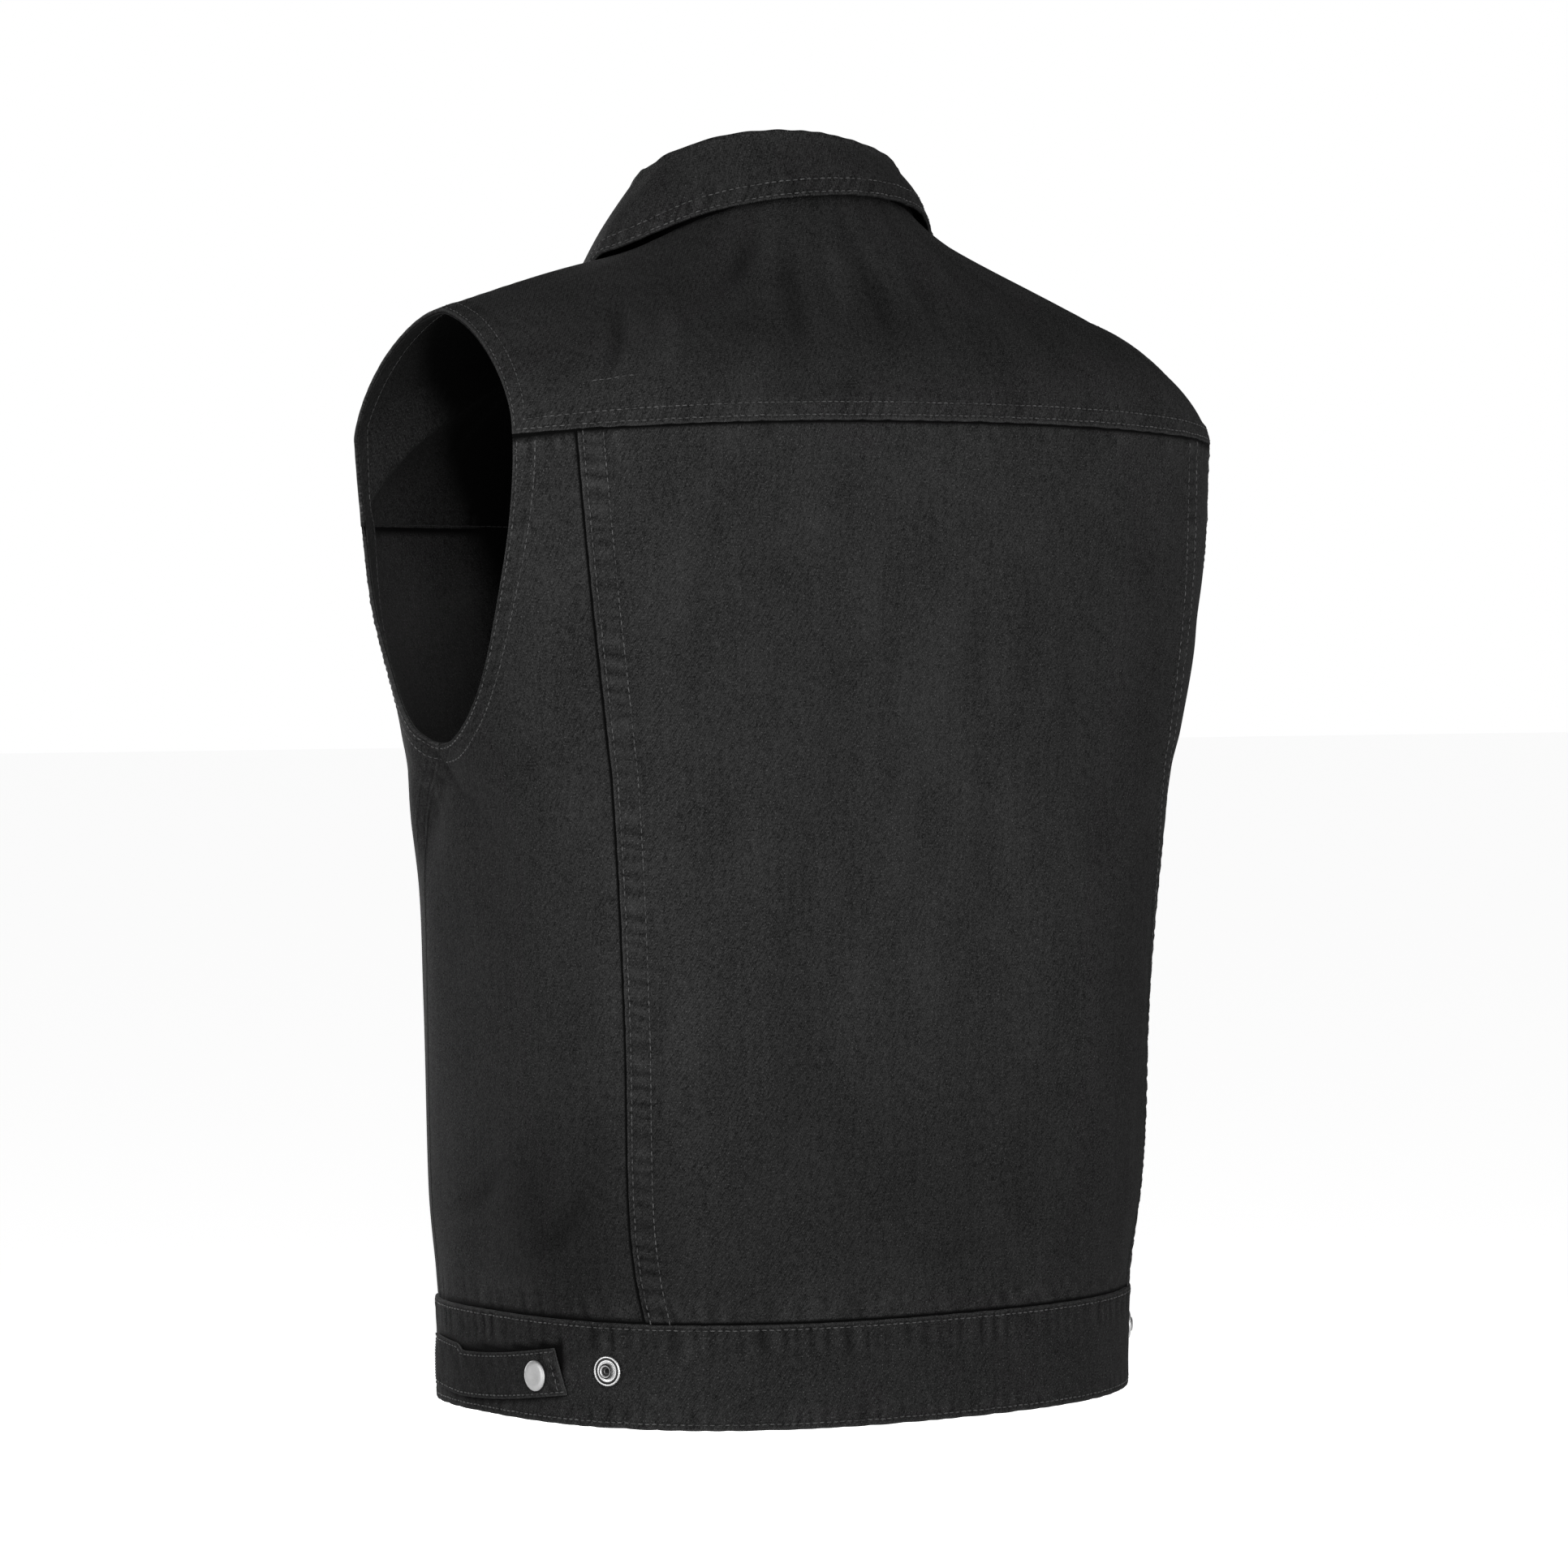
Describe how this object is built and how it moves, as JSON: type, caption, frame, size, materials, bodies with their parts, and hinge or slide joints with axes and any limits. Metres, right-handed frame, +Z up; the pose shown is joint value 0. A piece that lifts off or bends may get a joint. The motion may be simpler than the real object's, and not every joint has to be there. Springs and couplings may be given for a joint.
{
  "type": "sleeveless denim vest",
  "caption": "Sleeveless black denim vest with a folded collar, yokes, princess seams, a waistband with snap tabs and a snap front, in worn hollow form.",
  "frame": {"origin": "midway between the shoulders, at the height where the wearer's shoulders carry the vest, 590 mm above the hem", "axes": "+Z up along the body, -Y out of the front, +X to the wearer's left"},
  "size_m": [0.4426, 0.3011, 0.6662],
  "materials": {
    "denim": "black cotton twill, matt, with a fine diagonal weave",
    "snap_metal": "satin light grey plated snaps"
  },
  "bodies": {
    "root": {"back_centre": "denim", "back_side_left": "denim", "back_side_right": "denim", "front_panel_left": "denim", "front_panel_right": "denim", "back_yoke": "denim", "front_yoke_left": "denim", "front_yoke_right": "denim", "placket_left": "denim", "placket_right": "denim", "waistband_back": "denim", "waistband_front_left": "denim", "waistband_front_right": "denim", "armhole_facing_left": "denim", "armhole_facing_right": "denim", "collar": "denim", "adjuster_tab_left": "denim", "adjuster_tab_right": "denim", "tab_cap_left": "snap_metal", "tab_cap_right": "snap_metal", "band_stud_left": "snap_metal", "band_stud_right": "snap_metal", "front_cap_1": "snap_metal", "front_cap_2": "snap_metal", "front_cap_3": "snap_metal", "front_cap_4": "snap_metal", "front_cap_5": "snap_metal", "front_cap_6": "snap_metal"}
  },
  "joints": []
}
